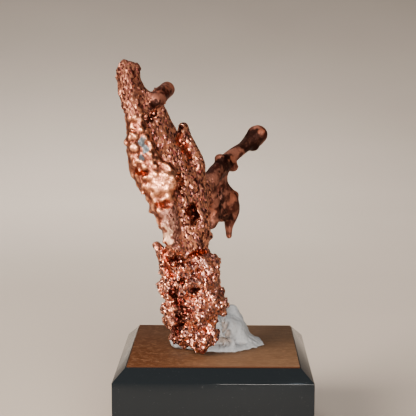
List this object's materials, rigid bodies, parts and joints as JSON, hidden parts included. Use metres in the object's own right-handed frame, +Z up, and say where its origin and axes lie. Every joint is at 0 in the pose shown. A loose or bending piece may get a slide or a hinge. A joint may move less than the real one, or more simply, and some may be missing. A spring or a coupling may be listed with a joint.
{
  "type": "native copper nugget",
  "caption": "Tall nugget of native copper with a side arm, held upright with white tack on a dark bevelled display block with a wood veneer top.",
  "frame": {"origin": "centre of the block's underside", "axes": "+Z up, +X to the right seen from the front, towards the nugget's arm, +Y to the back"},
  "size_m": [0.0508, 0.0508, 0.1024],
  "materials": {
    "copper": "rough crystalline metal",
    "tack": "matt",
    "veneer": "satin",
    "dark_acrylic": "polished"
  },
  "bodies": {
    "root": {"copper_nugget": "copper", "mounting_putty": "tack", "wood_top": "veneer", "display_block": "dark_acrylic"}
  },
  "joints": []
}
